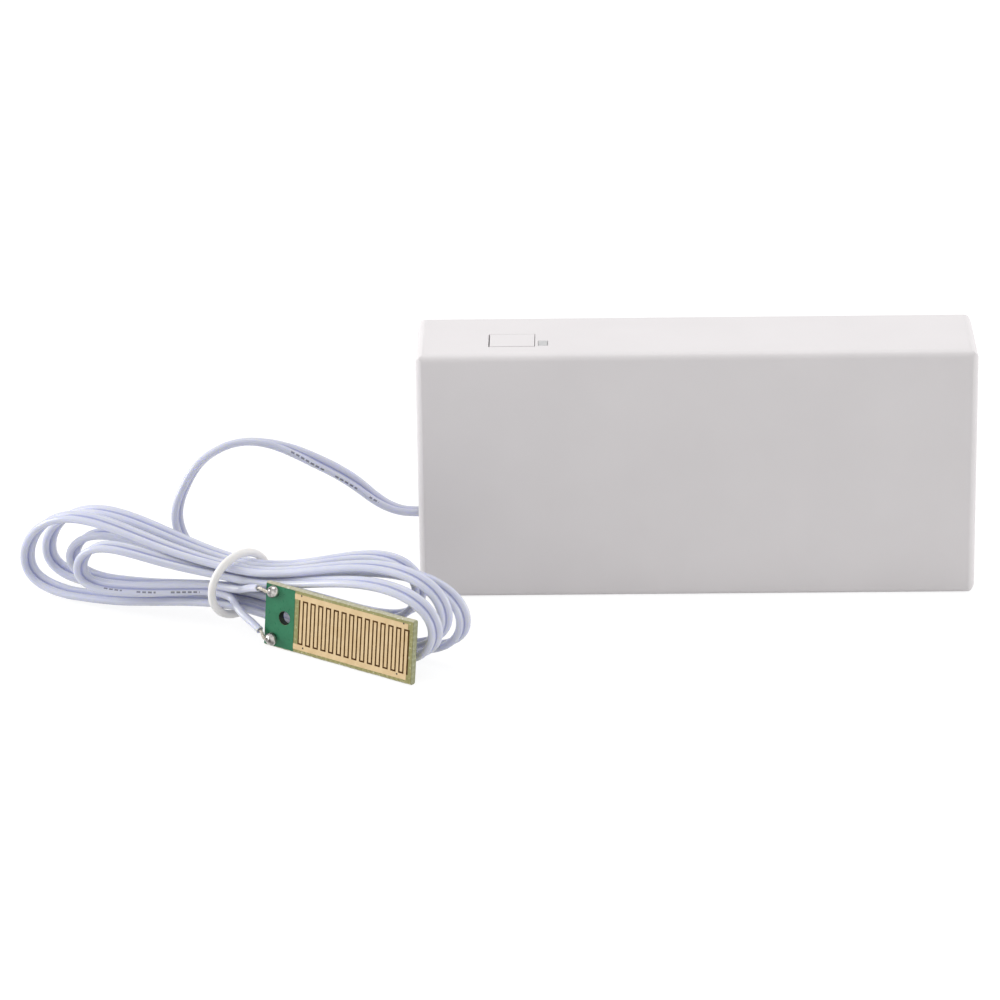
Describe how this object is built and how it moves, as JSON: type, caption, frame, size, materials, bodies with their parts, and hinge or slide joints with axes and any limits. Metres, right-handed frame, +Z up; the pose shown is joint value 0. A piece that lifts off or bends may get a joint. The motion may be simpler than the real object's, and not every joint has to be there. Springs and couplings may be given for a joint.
{
  "type": "water leak sensor",
  "caption": "Battery-powered water leak sensor: a slim upright box with a test button and status light, and a tied hank of flat lead ending in a comb-pattern sensing board.",
  "frame": {"origin": "middle of the case's base, on the surface it stands on", "axes": "+X to the right along the case, seen from the front; +Y from the front face to the rear cover; +Z up"},
  "size_m": [0.207, 0.0733, 0.0555],
  "materials": {
    "case_plastic": "fine satin white moulding",
    "button_plastic": "fine satin white moulding",
    "screw_steel": "zinc plated",
    "component_black": "moulded epoxy",
    "light_guide": "clear moulding, frosted",
    "led_resin": "clear resin",
    "board_green": "solder mask",
    "board_blue": "solder mask",
    "contact_steel": "nickel plated",
    "capacitor_sleeve": "shrunk sleeve",
    "connector_nylon": "moulded nylon",
    "cord_pvc": "soft PVC, slight sheen",
    "cell_can": "plain foil sleeve",
    "wire_red": "soft PVC",
    "wire_black": "soft PVC",
    "board_laminate": "bare glass-fibre laminate",
    "probe_green": "solder mask",
    "gold_track": "immersion gold",
    "solder": "bright solder",
    "tinned_wire": "tinned copper",
    "tie_pvc": "soft PVC over wire"
  },
  "bodies": {
    "case": {"front_shell": "case_plastic", "rear_cover": "case_plastic", "case_screws": "screw_steel", "switch_body": "component_black", "light_pipe": "light_guide", "status_led": "led_resin", "main_board": "board_green", "board_screws": "screw_steel", "radio_board": "board_blue", "radio_shield": "contact_steel", "controller_chip": "component_black", "regulator": "component_black", "capacitor": "capacitor_sleeve", "probe_socket": "connector_nylon", "probe_plug": "connector_nylon", "lead_stop": "connector_nylon", "inner_lead": "cord_pvc", "cell_lower": "cell_can", "cell_upper": "cell_can", "spring_lower": "contact_steel", "spring_upper": "contact_steel", "plate_negative": "contact_steel", "plate_positive": "contact_steel", "plate_link": "contact_steel", "lead_red": "wire_red", "lead_black": "wire_black", "probe_board": "board_laminate", "probe_mask": "probe_green", "sense_comb_upper": "gold_track", "sense_comb_lower": "gold_track", "solder_beads": "solder", "wire_ends": "tinned_wire", "cord_free": "cord_pvc", "cord_hank": "cord_pvc", "core_upper": "cord_pvc", "core_lower": "cord_pvc", "cord_tie": "tie_pvc"},
    "button": {"test_button": "button_plastic", "switch_plunger": "component_black"},
    "door": {"battery_door": "case_plastic"}
  },
  "joints": [
    {"name": "button_press", "type": "slide", "parent": "case", "child": "button", "axis": [0, 0, -1], "range_m": [0, 0.0006], "stiffness_N_per_m": 2500},
    {"name": "door_hinge", "type": "hinge", "parent": "case", "child": "door", "pos_m": [0.02525, 0.0117, 0.0121], "axis": [-1, 0, 0], "range_deg": [0, 90]}
  ]
}
